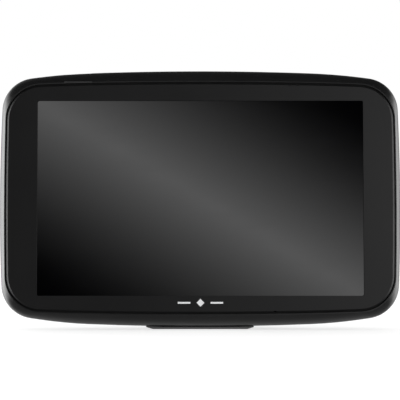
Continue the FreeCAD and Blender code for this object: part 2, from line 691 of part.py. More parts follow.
def make_arm():
    """Folding arm, hinge barrel and the round head that holds the suction cup."""
    body = make_plain("mount_arm", ["head_plate", "hub", "arm_high", "arm_low", "barrel"],
                      ["bore", "hub_bore", "arm_dish"])
    rounds(body, "pilot", head_screw_spots(), True)
    remove(body, "pin_track")


def make_ring():
    """Knurled locking ring, drawn round its own centre and then placed."""
    body = make_plain("lock_ring", ["ring_outer"], ["ring_inner", "ring_grip"])
    pattern = body.newObject("PartDesign::PolarPattern", "Grips")
    pattern.Originals = [body.getObject("Solid_ring_grip")]
    axis = [item for item in body.Origin.OriginFeatures if item.Role == "Y_Axis"][0]
    pattern.Axis = (axis, [""])
    pattern.Angle = 360
    pattern.setExpression("Occurrences", "Sizes.grip_count")
    body.Tip = pattern
    body.setExpression("Placement.Base.z", "Sizes.head_z")


def make_retainer():
    body = make_plain("ring_retainer", ["retainer"], ["retainer_bore"])
    rounds(body, "retainer_hole", head_screw_spots(), True)
    rounds(body, "head_seat", head_screw_spots(), True)


def make_cup():
    """Rubber suction cup with a shallow hollow face and a lifting tab."""
    cone = doc.addObject("Part::Cone", "cup_flare")
    cone.Placement = Placement(Vector(), Rotation(Vector(1, 0, 0), -90))
    cone.setExpression("Radius1", "Sizes.cup_radius - Sizes.cup_flare")
    cone.setExpression("Radius2", "Sizes.cup_radius")
    cone.setExpression("Height", "Sizes.cup_flare_thick")
    cone.setExpression("Placement.Base.y", "Sizes.cup_front")
    cone.setExpression("Placement.Base.z", "Sizes.head_z")
    edge = rod("cup_edge", "Sizes.cup_radius",
               "Sizes.cup_back - Sizes.cup_front - Sizes.cup_flare_thick",
               ("0", "Sizes.cup_front + Sizes.cup_flare_thick", "Sizes.head_z"), "Y")
    tab = block("cup_tab", ("Sizes.tab_width", "Sizes.tab_thick", "Sizes.tab_height"),
                ("-Sizes.tab_width / 2", "Sizes.cup_back - Sizes.tab_thick",
                 "Sizes.head_z + Sizes.cup_radius - Sizes.tab_root"))
    ball = doc.addObject("Part::Sphere", "cup_hollow")
    ball.setExpression("Radius", "Sizes.cup_hollow_radius")
    ball.setExpression("Placement.Base.y",
                       "Sizes.cup_back - Sizes.cup_hollow_depth + Sizes.cup_hollow_radius")
    ball.setExpression("Placement.Base.z", "Sizes.head_z")
    keep(cut("cup_solid", fuse("cup_whole", [cone, edge, tab]), [ball]), "suction_cup")


def make_stem():
    """Stem of the suction cup and the cross pin that the lock ring's ramps pull back."""
    stem = rod("stem_rod", "Sizes.stem_radius", "Sizes.stem_thick",
               ("0", "Sizes.stem_low", "Sizes.head_z"), "Y")
    start = ("-Sizes.cross_pin_half", "Sizes.cross_pin_y", "Sizes.head_z")
    hole = rod("stem_hole", "Sizes.cross_pin_radius + Sizes.cross_pin_slack",
               "2 * Sizes.cross_pin_half", start, "X")
    keep(cut("stem_solid", stem, [hole]), "cup_stem")
    keep(rod("cross_pin", "Sizes.cross_pin_radius", "2 * Sizes.cross_pin_half", start, "X"),
         "stem_pin")


def hinge_round(name, row, radius):
    """Part cylinder on the fold hinge's axis, as long as its row of the HINGE table says."""
    prefix = "Sizes." + row + "_"
    start = (prefix + "low", "Sizes.pivot_y", "Sizes.pivot_z")
    return rod(name, radius, prefix + "thick", start, "X")


def make_hinge():
    """Hinge pin, and a washer at each end of the arm's barrel."""
    keep(hinge_round("hinge_rod", "hinge_rod", "Sizes.hinge_rod_radius"), "hinge_pin")
    rings = []
    for row in ("washer_right", "washer_left"):
        disc = hinge_round(row + "_disc", row, "Sizes.%s_radius" % row)
        bore = hinge_round(row + "_bore", row, "Sizes.pin_radius + Sizes.pin_slack")
        rings.append(cut(row, disc, [bore]))
    group = doc.addObject("Part::Compound", "hinge_washers")
    group.Links = rings
    keep(group, "hinge_washers")


def make_everything():
    make_front_frame()
    make_front_bezel()
    make_seal()
    make_rear_shell()
    make_plain("panel_gasket", ["gasket"], ["gasket_window"])
    make_plain("touch_panel", ["touch"], [])
    make_plain("lcd_cell", ["liquid_cell"], [])
    make_plain("light_guide", ["light_guide"], [])
    make_plain("display_tray", ["tray"], ["tray_hollow"])
    make_chassis()
    make_board()
    make_plain("processor_shield", ["processor"], ["processor_room"])
    make_plain("memory_shield", ["memory"], ["memory_room"])
    make_plain("thermal_pad", ["thermal"], [])
    make_plain("battery", ["battery"], [])
    make_plain("battery_foam", ["foam"], [])
    make_plain("battery_plug", ["plug"], [])
    make_plain("display_ribbon", ["ribbon"], [])
    make_plain("antenna_shelf", ["antenna_shelf"], [])
    make_plain("gps_antenna", ["antenna"], [])
    make_plain("usb_socket", ["usb"], ["usb_mouth"])
    make_plain("card_socket", ["card"], ["card_mouth"])
    make_plain("power_switch", ["switch"], [])
    make_plain("power_button", ["button_cap", "button_flange"], [])
    make_plain("status_pipe", ["status_pipe"], [])
    make_plain("mic_boot", ["mic_boot"], ["mic_bore"])
    make_plain("microphone", ["microphone"], [])
    make_plain("loudspeaker", ["speaker", "speaker_back"], ["speaker_cone"])
    make_plain("speaker_gasket", ["speaker_ring"], ["speaker_ring_bore"])
    make_plain("speaker_mesh", ["speaker_mesh"], [])
    make_plain("label_plate", ["label_plate"], [])
    make_mark()
    screws("case_screws", case_screw_spots())
    screws("board_screws", board_screw_spots())
    screws("bracket_screws", bracket_screw_spots())
    make_bracket()
    make_hinge()
    make_arm()
    make_ring()
    make_retainer()
    screws("head_screws", head_screw_spots())
    make_stem()
    make_cup()


def check(part):
    """Stop if a sub-part or any feature inside it failed."""
    members = [part] + list(getattr(part, "Group", []))
    for member in members:
        if "Invalid" in member.State or "Error" in member.State:
            raise RuntimeError("%s: %s is in error" % (part.Label, member.Name))
    if part.Shape.isNull() or not part.Shape.isValid() or part.Shape.Volume <= 0:
        raise RuntimeError(part.Label + " has no valid solid")


parts = []
stored = []
for word, value in SHARED.items():
    store(word, value)
store_table(OUTLINES, OUTLINE_WORDS)
store_table(FRONT, FRONT_WORDS)
store_table(ABOVE, ABOVE_WORDS)
store_table(SIDE, SIDE_WORDS)
store_table(ROUND, ROUND_WORDS)
store_table(HINGE, HINGE_WORDS)
store_table(HOLES, HOLE_WORDS)
store_table(SCREWS, SCREW_WORDS)
doc.recompute()
make_everything()
doc.recompute()
os.makedirs("parts", exist_ok=True)
for part in parts:
    check(part)
    part.Shape.exportStep("parts/" + part.Label + ".step")
    box = part.Shape.BoundBox
    print("%-18s solids %d volume %9.2f  x %.2f %.2f  y %.2f %.2f  z %.2f %.2f" % (
        part.Label, len(part.Shape.Solids), part.Shape.Volume,
        box.XMin, box.XMax, box.YMin, box.YMax, box.ZMin, box.ZMax))
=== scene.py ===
"""Looks of the portable navigator: materials, small trim pieces, lights and camera.

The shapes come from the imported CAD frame; nothing in it is moved here.
"""
import json
import math

import bmesh
import bpy
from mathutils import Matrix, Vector

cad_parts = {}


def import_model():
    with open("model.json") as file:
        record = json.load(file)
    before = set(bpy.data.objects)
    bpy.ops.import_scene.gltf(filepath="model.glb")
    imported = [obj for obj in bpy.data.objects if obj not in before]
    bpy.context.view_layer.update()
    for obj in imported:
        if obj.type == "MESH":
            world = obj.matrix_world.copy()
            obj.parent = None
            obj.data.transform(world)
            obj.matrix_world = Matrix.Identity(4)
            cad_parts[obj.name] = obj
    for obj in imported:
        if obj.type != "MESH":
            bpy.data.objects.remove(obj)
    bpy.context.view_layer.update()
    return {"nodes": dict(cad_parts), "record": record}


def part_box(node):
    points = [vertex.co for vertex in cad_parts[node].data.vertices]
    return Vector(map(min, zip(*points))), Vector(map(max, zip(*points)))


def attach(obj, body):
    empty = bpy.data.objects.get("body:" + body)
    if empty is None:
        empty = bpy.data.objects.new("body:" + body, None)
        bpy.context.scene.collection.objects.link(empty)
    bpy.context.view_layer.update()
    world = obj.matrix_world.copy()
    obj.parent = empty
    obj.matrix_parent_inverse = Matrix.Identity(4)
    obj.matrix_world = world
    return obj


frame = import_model()
NODES = frame["nodes"]
MM = 0.001


# ---------------------------------------------------------------- places read from the frame
def span(node):
    """Lowest and highest corner of one CAD node."""
    low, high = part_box(node)
    return Vector(low), Vector(high)


FRAME_LOW, FRAME_HIGH = span("front_frame")
GLASS_FACE = span("touch_panel")[0].y
CUP_LOW, CUP_HIGH = span("suction_cup")
RING_LOW, RING_HIGH = span("lock_ring")
BUTTON_LOW, BUTTON_HIGH = span("power_button")
BODY_MIDDLE = (FRAME_LOW + FRAME_HIGH) / 2
RING_MIDDLE = (RING_LOW + RING_HIGH) / 2
GASKET_LOW, GASKET_HIGH = span("panel_gasket")
GASKET_MARGIN = Vector((8.1, 0, 6.65)) * MM     # the gasket is this much larger than the window
WINDOW_SIZE = GASKET_HIGH - GASKET_LOW - GASKET_MARGIN

# ---------------------------------------------------------------- studio
EYE_DISTANCE = 0.5145      # camera in front of the frame's rear edge
EYE_DROP = 0.0238          # and this much lower than the middle of the housing
EYE_SIDE = -0.008          # and slightly to the left
PICTURE_SIDE = 0.0         # middle of the picture against the middle of the housing
PICTURE_RISE = -0.63 * MM
LENS = 114.1               # millimetres, on a sensor this wide
SENSOR = 36
DOME = 0.8                 # even soft light on matt surfaces
LOW_GLOW = 0.45            # what shiny surfaces mirror from below
HIGH_GLOW = 0.02           # and from above
BACK_GLOW = 0.45           # and from the white wall behind
LEFT_BOX = 11.5            # side softboxes as the glossy frame mirrors them
RIGHT_BOX = 7.0
FLOOR_GLOW = 0.62          # the floor is a softly lit table top
SHEET_PEAK = 2.25          # slanted sheet mirrored in the display
SHEET_REACH = 0.95         # where the sheet ends, as a share of the way to the dark corners
SHEET_FALL = 2.12          # how steeply it fades
BOX_FALL = 3.0             # how steeply the side softboxes fade towards the front
FRONT_LAMP = (0.6, -0.95, 0.1)
BACK_LAMP = (-0.8, 0.9, 0.7)
FLOOR_HALF = 6.0

# ---------------------------------------------------------------- trim sizes in millimetres
INK = 0.02                 # thickness of printed ink
RIB_INNER = 28.9           # rib on the cup's front, between the retainer and the cup's rim
RIB_OUTER = 29.6
RIB_PROUD = 0.35
RIB_ROOT = 0.1             # part of a rib sunk in the piece that carries it
CUP_DEPTH = 1.4            # middle of the cup's hollow face
CUP_CURVE = 280            # its radius
SEAL_RINGS = (26, 23, 20)
TAB_RIB_PITCH = 1.5
MARK_GAP = 0.3             # between a turn mark and the ring's outer edge
MARK_TURN = 0.024          # angle that a turn mark covers
CREASE = 32                # edges sharper than this many degrees stay sharp


# ---------------------------------------------------------------- node helpers
class Tree:
    """Short way to add and join shader nodes."""

    def __init__(self, owner):
        owner.use_nodes = True
        self.nodes = owner.node_tree.nodes
        self.links = owner.node_tree.links

    def add(self, kind, **settings):
        node = self.nodes.new(kind)
        for key, value in settings.items():
            setattr(node, key, value)
        return node

    def join(self, source, target):
        self.links.new(source, target)

    def fill(self, node, socket, value):
        """Set an input to a number or colour, or link it to another node's output."""
        if isinstance(value, bpy.types.NodeSocket):
            self.join(value, node.inputs[socket])
        else:
            node.inputs[socket].default_value = value

    def math(self, operation, first, second=None):
        node = self.add("ShaderNodeMath", operation=operation)
        self.fill(node, 0, first)
        if second is not None:
            self.fill(node, 1, second)
        return node.outputs[0]

    def ramp(self, source, low, high, out_low=0.0, out_high=1.0, smooth=False):
        """Remap with clamping, straight or smooth."""
        node = self.add("ShaderNodeMapRange")
        if smooth:
            node.interpolation_type = "SMOOTHSTEP"
        self.join(source, node.inputs["Value"])
        for socket, value in (("From Min", low), ("From Max", high),
                              ("To Min", out_low), ("To Max", out_high)):
            node.inputs[socket].default_value = value
        return node.outputs["Result"]


class Graph(Tree):
    """Node tree of one material, in object coordinates."""

    def __init__(self, name):
        self.material = bpy.data.materials.new(name)
        super().__init__(self.material)
        self.shader = self.nodes["Principled BSDF"]
        self.place = self.add("ShaderNodeTexCoord").outputs["Object"]

    def scaled(self, stretch):
        """Object coordinates stretched by a vector."""
        mapping = self.add("ShaderNodeMapping")
        mapping.inputs["Scale"].default_value = stretch
        self.join(self.place, mapping.inputs["Vector"])
        return mapping.outputs["Vector"]

    def noise(self, size_mm, detail, vector=None):
        """Noise whose blotches are about size_mm across."""
        node = self.add("ShaderNodeTexNoise")
        self.join(vector or self.place, node.inputs["Vector"])
        node.inputs["Scale"].default_value = 1 / (size_mm * MM)
        node.inputs["Detail"].default_value = detail
        node.inputs["Roughness"].default_value = 0.55
        return node.outputs["Fac"]

    def cells(self, size_mm, feature="F1"):
        """Voronoi distance with cells about size_mm across."""
        node = self.add("ShaderNodeTexVoronoi", feature=feature)
        self.join(self.place, node.inputs["Vector"])
        node.inputs["Scale"].default_value = 1 / (size_mm * MM)
        return node.outputs["Distance"]

    def wave(self, period_mm, direction):
        """Even bands across one axis, 0 to 1, one band each period."""
        node = self.add("ShaderNodeTexWave", wave_type="BANDS", bands_direction=direction)
        self.join(self.place, node.inputs["Vector"])
        node.inputs["Scale"].default_value = math.tau / (20 * period_mm * MM)
        return node.outputs["Fac"]

    def mix(self, factor, first, second):
        """Colour mix; colours are 3 numbers or sockets."""
        node = self.add("ShaderNodeMix", data_type="RGBA")
        self.fill(node, 0, factor)
        for socket, value in ((6, first), (7, second)):
            if isinstance(value, tuple):
                value = (*value, 1.0)
            self.fill(node, socket, value)
        return node.outputs[2]

    def edges(self, radius_mm):
        """Near 1 on worn corners, 0 on flat stretches."""
        bevel = self.add("ShaderNodeBevel", samples=4)
        bevel.inputs["Radius"].default_value = radius_mm * MM
        geometry = self.add("ShaderNodeNewGeometry")
        dot = self.add("ShaderNodeVectorMath", operation="DOT_PRODUCT")
        self.join(bevel.outputs["Normal"], dot.inputs[0])
        self.join(geometry.outputs["Normal"], dot.inputs[1])
        return self.ramp(dot.outputs["Value"], 0.995, 0.9)

    def bump(self, height, distance_mm, strength):
        node = self.add("ShaderNodeBump")
        node.inputs["Strength"].default_value = strength
        node.inputs["Distance"].default_value = distance_mm * MM
        self.join(height, node.inputs["Height"])
        return node.outputs["Normal"]

    def finish(self, colour, rough, normal=None, **constants):
        if isinstance(colour, tuple):
            colour = (*colour, 1.0)
        self.fill(self.shader, "Base Color", colour)
        self.fill(self.shader, "Roughness", rough)
        if normal is not None:
            self.join(normal, self.shader.inputs["Normal"])
        for key, value in constants.items():
            self.shader.inputs[key.replace("_", " ")].default_value = value
        return self.material


def moulded(name, base, rough, grain_mm=0.35, depth_mm=0.006):
    """Moulded plastic: spark-eroded grain, blotchy gloss, corners rubbed smooth and a little pale."""
    g = Graph(name)
    grain = g.cells(grain_mm, "SMOOTH_F1")
    fine = g.noise(grain_mm * 0.5, 2)
    blotch = g.noise(14, 4)
    worn = g.math("MULTIPLY", g.edges(0.25), g.ramp(g.noise(5, 5), 0.35, 0.65))
    pale = tuple(min(1.0, c * 2.1 + 0.012) for c in base)
    dull = tuple(c * 0.82 for c in base)
    colour = g.mix(g.ramp(blotch, 0.35, 0.65), base, dull)
    colour = g.mix(g.math("MULTIPLY", worn, 0.35), colour, pale)
    level = g.ramp(blotch, 0.3, 0.7, rough - 0.05, rough + 0.05)
    level = g.math("SUBTRACT", level, g.math("MULTIPLY", worn, 0.12))
    level = g.math("ADD", level, g.ramp(fine, 0.3, 0.7, -0.03, 0.03))
    normal = g.bump(g.math("ADD", grain, g.math("MULTIPLY", fine, 0.6)), depth_mm, 0.5)
    return g.finish(colour, level, normal)


def satin_frame(name):
    """Outer frame: smooth satin plastic with faint flow marks and fine handling scratches."""
    g = Graph(name)
    blotch = g.noise(22, 4)
    flow = g.noise(1.6, 3, vector=g.scaled((0.12, 1, 1)))
    scratch = g.noise(0.25, 2, vector=g.scaled((0.03, 1, 0.35)))
    hair = g.ramp(scratch, 0.68, 0.74)
    worn = g.math("MULTIPLY", g.edges(0.3), g.ramp(g.noise(6, 5), 0.4, 0.6))
    colour = g.mix(g.ramp(blotch, 0.35, 0.65), (0.0042, 0.0042, 0.0043), (0.0052, 0.0052, 0.0053))
    colour = g.mix(g.math("MULTIPLY", worn, 0.2), colour, (0.02, 0.02, 0.0205))
    level = g.ramp(flow, 0.3, 0.7, 0.2, 0.26)
    level = g.math("ADD", level, g.math("MULTIPLY", hair, 0.1))
    normal = g.bump(g.noise(0.8, 3), 0.004, 0.35)
    return g.finish(colour, level, normal, IOR=1.3)


def panel_matte(name):
    """Front panel: very fine, even, matte grain."""
    g = Graph(name)
    grain = g.noise(0.28, 3)
    cells = g.cells(0.45, "SMOOTH_F1")
    blotch = g.noise(30, 3)
    worn = g.math("MULTIPLY", g.edges(0.2), g.ramp(g.noise(8, 4), 0.35, 0.6))
    colour = g.mix(g.ramp(blotch, 0.35, 0.65), (0.0016, 0.0016, 0.0017), (0.0022, 0.0022, 0.0023))
    colour = g.mix(g.math("MULTIPLY", worn, 0.1), colour, (0.02, 0.02, 0.02))
    level = g.ramp(blotch, 0.3, 0.7, 0.46, 0.5)
    level = g.math("ADD", level, g.ramp(grain, 0.3, 0.7, -0.03, 0.03))
    normal = g.bump(g.math("ADD", grain, g.math("MULTIPLY", cells, 0.5)), 0.005, 0.4)
    return g.finish(colour, level, normal, IOR=1.26)


def touch_glass(name):
    """Unlit display under glass: black, very smooth, with the faintest wipe marks and cell grid."""
    g = Graph(name)
    wipe = g.noise(9, 5, vector=g.scaled((0.35, 1, 1)))
    dust = g.ramp(g.cells(2.6), 0.05, 0.03)
    colour = g.mix(g.math("MULTIPLY", g.wave(0.18, "X"), 0.5), (0.0002, 0.0002, 0.0003),
                   (0.0004, 0.0004, 0.0005))
    colour = g.mix(g.math("MULTIPLY", dust, 0.08), colour, (0.02, 0.02, 0.02))
    level = g.ramp(wipe, 0.3, 0.75, 0.035, 0.075)
    normal = g.bump(g.noise(28, 2), 0.004, 0.2)
    return g.finish(colour, level, normal, IOR=1.51)


def metal(name, base, rough, brushed=(1, 1, 1)):
    """Metal with directional brushing, tarnish blotches and bright rubbed corners."""
    g = Graph(name)
    lines = g.noise(0.35, 3, vector=g.scaled(brushed))
    blotch = g.noise(4, 5)
    worn = g.edges(0.12)
    dull = tuple(c * 0.72 for c in base)
    bright = tuple(min(1.0, c * 1.35 + 0.03) for c in base)
    colour = g.mix(g.ramp(blotch, 0.3, 0.7), dull, base)
    colour = g.mix(g.math("MULTIPLY", worn, 0.3), colour, bright)
    level = g.ramp(blotch, 0.3, 0.7, rough + 0.06, rough - 0.04)
    level = g.math("ADD", level, g.ramp(lines, 0.3, 0.7, -0.05, 0.05))
    normal = g.bump(lines, 0.004, 0.4)
    return g.finish(colour, level, normal, Metallic=1.0)


def rubber(name, base, rough=0.62, grain_mm=0.5, dusty=0.4, **constants):
    """Soft rubber: fine pores, patches of bloom, chalky rubbed corners, and sheen only where it is
    passed in.
    """
    g = Graph(name)
    pores = g.cells(grain_mm)
    bloom = g.ramp(g.noise(7, 6), 0.42, 0.72)
    worn = g.edges(0.4)
    chalk = tuple(min(1.0, c * 1.9 + 0.02) for c in base)
    colour = g.mix(g.math("MULTIPLY", bloom, dusty), base, chalk)
    colour = g.mix(g.math("MULTIPLY", worn, 0.2), colour, chalk)
    level = g.ramp(g.noise(3, 4), 0.3, 0.7, rough - 0.07, rough + 0.07)
    normal = g.bump(g.math("ADD", pores, g.noise(0.2, 2)), 0.006, 0.4)
    return g.finish(colour, level, normal, **constants)


def laminate(name):
    """Circuit board: solder mask over a track pattern."""
    g = Graph(name)
    tracks = g.add("ShaderNodeTexBrick")
    g.join(g.place, tracks.inputs["Vector"])
    tracks.inputs["Scale"].default_value = 160
    tracks.inputs["Mortar Size"].default_value = 0.06
    pads = g.ramp(g.cells(1.9), 0.16, 0.12)
    colour = g.mix(tracks.outputs["Fac"], (0.006, 0.055, 0.024), (0.012, 0.1, 0.045))
    colour = g.mix(g.math("MULTIPLY", pads, 0.8), colour, (0.55, 0.5, 0.3))
    level = g.ramp(g.noise(5, 3), 0.3, 0.7, 0.28, 0.4)
    normal = g.bump(tracks.outputs["Fac"], 0.02, 0.4)
    worn = g.math("MULTIPLY", g.edges(0.15), 0.5)
    return g.finish(g.mix(worn, colour, (0.3, 0.27, 0.16)), level, normal)


def woven(name):
    """Blackened wire mesh; the gaps between the wires are painted near-black as painted shade for the
    dark behind the mesh.
    """
    g = Graph(name)
    height = g.math("MAXIMUM", g.wave(0.5, "X"), g.wave(0.5, "Z"))
    # The wires keep their blackened tone; the low parts between them are painted shade, not a material
    # colour.
    colour = g.mix(g.ramp(height, 0.2, 0.8), (0.003, 0.003, 0.003), (0.06, 0.06, 0.062))
    level = g.ramp(g.noise(2, 3), 0.3, 0.7, 0.4, 0.55)
    return g.finish(colour, level, g.bump(height, 0.1, 0.8), Metallic=0.8)


def mark_print(name):
    """Silver-grey pad print with slightly uneven ink."""
    g = Graph(name)
    ink = g.ramp(g.noise(0.3, 4), 0.25, 0.6)
    worn = g.math("MULTIPLY", g.edges(0.1), 0.2)
    colour = g.mix(ink, (0.34, 0.34, 0.345), (0.48, 0.48, 0.485))
    level = g.ramp(g.noise(0.8, 3), 0.3, 0.7, 0.34, 0.48)
    normal = g.bump(g.noise(0.25, 3), 0.004, 0.4)
    return g.finish(g.mix(worn, colour, (0.3, 0.3, 0.3)), level, normal)


MATERIALS = {
    "frame_black": satin_frame("frame_black"),
    "bezel_black": panel_matte("bezel_black"),
    "shell_black": moulded("shell_black", (0.014, 0.014, 0.0145), 0.5),
    "touch_glass": touch_glass("touch_glass"),
    # gasket: its own black rubber, made darker than real rubber and nearly free of bloom as painted
    # shade for the gap where the seal shows.
    "gasket": rubber("gasket", (0.004, 0.004, 0.004), 0.8, dusty=0.1),
    "cell": moulded("cell", (0.003, 0.003, 0.004), 0.2),
    "guide": moulded("guide", (0.75, 0.77, 0.77), 0.25),
    "tray_steel": metal("tray_steel", (0.55, 0.55, 0.55), 0.35, (0.05, 1, 1)),
    "chassis": metal("chassis", (0.56, 0.56, 0.57), 0.48),
    "board_green": laminate("board_green"),
    "shield_tin": metal("shield_tin", (0.66, 0.66, 0.64), 0.3, (0.08, 1, 1)),
    "pad_grey": rubber("pad_grey", (0.3, 0.32, 0.35)),
    "battery_wrap": moulded("battery_wrap", (0.05, 0.055, 0.07), 0.42),
    # foam_black: painted shade. It is darker than real black foam and its reflection is turned down, so
    # the deep gaps it lines read as shade.
    "foam_black": rubber("foam_black", (0.002, 0.002, 0.002), 0.9, 0.3, 0.03,
                         Specular_IOR_Level=0.1),
    "plug_white": moulded("plug_white", (0.68, 0.66, 0.58), 0.45),
    "ribbon_amber": moulded("ribbon_amber", (0.38, 0.14, 0.02), 0.3),
    "ceramic_tan": moulded("ceramic_tan", (0.5, 0.38, 0.27), 0.5),
    "socket_steel": metal("socket_steel", (0.6, 0.6, 0.6), 0.28, (1, 1, 0.08)),
    "switch_black": moulded("switch_black", (0.02, 0.02, 0.02), 0.45),
    "button_black": moulded("button_black", (0.03, 0.03, 0.031), 0.36, 0.25, 0.003),
    "mark_grey": mark_print("mark_grey"),
    "pipe_grey": moulded("pipe_grey", (0.012, 0.012, 0.0125), 0.34, 0.2, 0.002),
    "label_grey": moulded("label_grey", (0.05, 0.05, 0.051), 0.38, 0.5, 0.004),
    "speaker_steel": metal("speaker_steel", (0.3, 0.3, 0.32), 0.4),
    "mesh_black": woven("mesh_black"),
    "screw_black": metal("screw_black", (0.06, 0.06, 0.065), 0.38),
    "pin_steel": metal("pin_steel", (0.58, 0.58, 0.59), 0.25, (1, 0.1, 0.1)),
    "mount_black": moulded("mount_black", (0.02, 0.02, 0.021), 0.44),
    # bracket_black: the same black plastic as mount_black, made lighter as painted light for the light
    # the foot's front catches under the housing.
    "bracket_black": moulded("bracket_black", (0.032, 0.032, 0.033), 0.44),
    "ring_black": moulded("ring_black", (0.026, 0.026, 0.027), 0.4, 0.3, 0.004),
    "cup_rubber": rubber("cup_rubber", (0.02, 0.02, 0.022), 0.4, dusty=0.12, Sheen_Weight=0.06,
                         Sheen_Roughness=0.5),
}


# ---------------------------------------------------------------- carried-over CAD nodes
def dress_frame_nodes():
    """Give each CAD node its slot's material, smooth faces and slightly broken corners."""
    soft_corner = {"front_bezel": 0.1, "front_frame": 0.12, "mount_bracket": 0.25, "mount_arm": 0.3,
                   "power_button": 0.25, "ring_retainer": 0.2, "lock_ring": 0.2, "rear_shell": 0.08,
                   "battery": 0.5, "cup_stem": 0.2, "suction_cup": 0.15}
    slots = {entry["node"]: entry["material_slot"] for entry in frame["record"]["subparts"]}
    for name, node in NODES.items():
        node.data.materials.clear()
        node.data.materials.append(MATERIALS[slots[name]])
        smooth(node.data)
        if name in soft_corner:
            bevel = node.modifiers.new("Corners", "BEVEL")
            bevel.width = soft_corner[name] * MM
            bevel.segments = 2
            bevel.limit_method = "ANGLE"
            bevel.angle_limit = math.radians(38)


def smooth(mesh):
    """Smooth shading with the sharp edges kept."""
    mesh.polygons.foreach_set("use_smooth", [True] * len(mesh.polygons))
    mesh.set_sharp_from_angle(angle=math.radians(CREASE))


# ---------------------------------------------------------------- small trim made here
def solid(name, slot, body, make):
    """Make one trim piece with bmesh and attach it to a CAD body."""
    mesh = bpy.data.meshes.new(name)
    shape = bmesh.new()
    make(shape)
    bmesh.ops.recalc_face_normals(shape, faces=shape.faces)
    shape.to_mesh(mesh)
    shape.free()
    piece = bpy.data.objects.new(name, mesh)
    bpy.context.collection.objects.link(piece)
    mesh.materials.append(MATERIALS[slot])
    smooth(mesh)
    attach(piece, body)


def ring_band(shape, centre, axis, inner, outer, low, high, steps=96, start=0.0, turn=math.tau):
    """Rectangular-section ring or arc round an axis through centre (axis is y or z)."""
    closed = abs(turn - math.tau) < 1e-6
    count = steps if closed else steps + 1
    loops = []
    for step in range(count):
        angle = start + turn * step / steps
        loop = []
        for radius, along in ((inner, low), (outer, low), (outer, high), (inner, high)):
            across = radius * math.cos(angle)
            up = radius * math.sin(angle)
            if axis == "y":
                point = (centre[0] + across, along, centre[2] + up)
            else:
                point = (centre[0] + across, centre[1] + up, along)
            loop.append(shape.verts.new(point))
        loops.append(loop)
    pairs = range(count if closed else count - 1)
    for number in pairs:
        first = loops[number]
        second = loops[(number + 1) % count]
        for corner in range(4):
            after = (corner + 1) % 4
            shape.faces.new((first[corner], first[after], second[after], second[corner]))
    if not closed:
        shape.faces.new(loops[0])
        shape.faces.new(loops[-1])


def rounded_bar(shape, centre, size, corner, axis, steps=5):
    """Prism with rounded corners whose section faces along axis (x, y or z)."""
    order = {"x": (1, 2, 0), "y": (0, 2, 1), "z": (0, 1, 2)}[axis]
    half = [size[k] / 2 for k in order]
    outline = []
    for quarter, (side_a, side_b) in enumerate(((1, 1), (-1, 1), (-1, -1), (1, -1))):
        for step in range(steps + 1):
            angle = math.pi / 2 * (quarter + step / steps)
            outline.append((side_a * (half[0] - corner) + corner * math.cos(angle),
                            side_b * (half[1] - corner) + corner * math.sin(angle)))
    ends = []
    for along in (-half[2], half[2]):
        ring = []
        for a, b in outline:
            point = [0.0, 0.0, 0.0]
            for index, value in zip(order, (a, b, along)):
                point[index] = centre[index] + value
            ring.append(shape.verts.new(point))
        ends.append(ring)
    for number in range(len(outline)):
        after = (number + 1) % len(outline)
        shape.faces.new((ends[0][number], ends[0][after], ends[1][after], ends[1][number]))
    shape.faces.new(ends[0])
    shape.faces.new(ends[1])


def button_symbol():
    """Generic power symbol printed on the button's top."""
    middle = (BUTTON_LOW + BUTTON_HIGH) / 2
    top = BUTTON_HIGH.z

    def make(shape):
        ring_band(shape, middle, "z", 0.65 * MM, 0.8 * MM, top - INK * MM, top,
                  steps=40, start=math.radians(125), turn=math.radians(290))
        rounded_bar(shape, (middle.x, middle.y + 0.62 * MM, top - INK / 2 * MM),
                    (0.16 * MM, 0.7 * MM, INK * MM), 0.07 * MM, "z")
    solid("button_symbol", "mark_grey", "button", make)


def cup_rib():
    """Rib moulded into the front of the suction cup, outside everything behind the head."""
    def make(shape):
        ring_band(shape, RING_MIDDLE, "y", RIB_INNER * MM, RIB_OUTER * MM,
                  CUP_LOW.y - RIB_PROUD * MM, CUP_LOW.y + RIB_ROOT * MM)
    solid("cup_rib", "cup_rubber", "cup", make)


def cup_face():
    """Sealing rings and a low middle boss inside the cup's hollow face."""
    def band(shape, radius, width, proud):
        depth = CUP_DEPTH - radius ** 2 / (2 * CUP_CURVE)
        ring_band(shape, RING_MIDDLE, "y", (radius - width) * MM, radius * MM,
                  CUP_HIGH.y - (depth + 0.3) * MM, CUP_HIGH.y - (depth - proud) * MM)

    def make(shape):
        for radius in SEAL_RINGS:
            band(shape, radius, 0.5, 0.15)
        band(shape, 6, 3, 0.3)
    solid("cup_face", "cup_rubber", "cup", make)


def label_print():
    """Blank type plate's print: two long lines, four bars and a square, no lettering."""
    low, high = span("label_plate")
    middle = (low + high) / 2
    wide = high.x - low.x
    face = high.y + INK / 2 * MM

    def bar(shape, across, up, width, height):
        rounded_bar(shape, (middle.x + across * MM, face, middle.z + up * MM),
                    (width * MM, INK * MM, height * MM), 0.1 * MM, "y", steps=2)

    def make(shape):
        for up in (5.2, -5.2):
            bar(shape, 0, up, wide / MM - 2, 0.25)
        for up, width in ((3.2, 14), (1.4, 16), (-0.4, 11), (-2.2, 15)):
            bar(shape, width / 2 - 12, up, width, 0.7)
        bar(shape, 9, 0.4, 4.5, 4.5)
    solid("label_print", "mark_grey", "device", make)


def tab_ribs():
    """Finger ribs on the suction cup's lifting tab."""
    def make(shape):
        for step in range(3):
            height = CUP_HIGH.z - (1.4 + TAB_RIB_PITCH * step) * MM
            rounded_bar(shape, (0, CUP_HIGH.y - 0.85 * MM, height), (9 * MM, 0.5 * MM, 0.6 * MM),
                        0.2 * MM, "x")
    solid("tab_ribs", "cup_rubber", "cup", make)


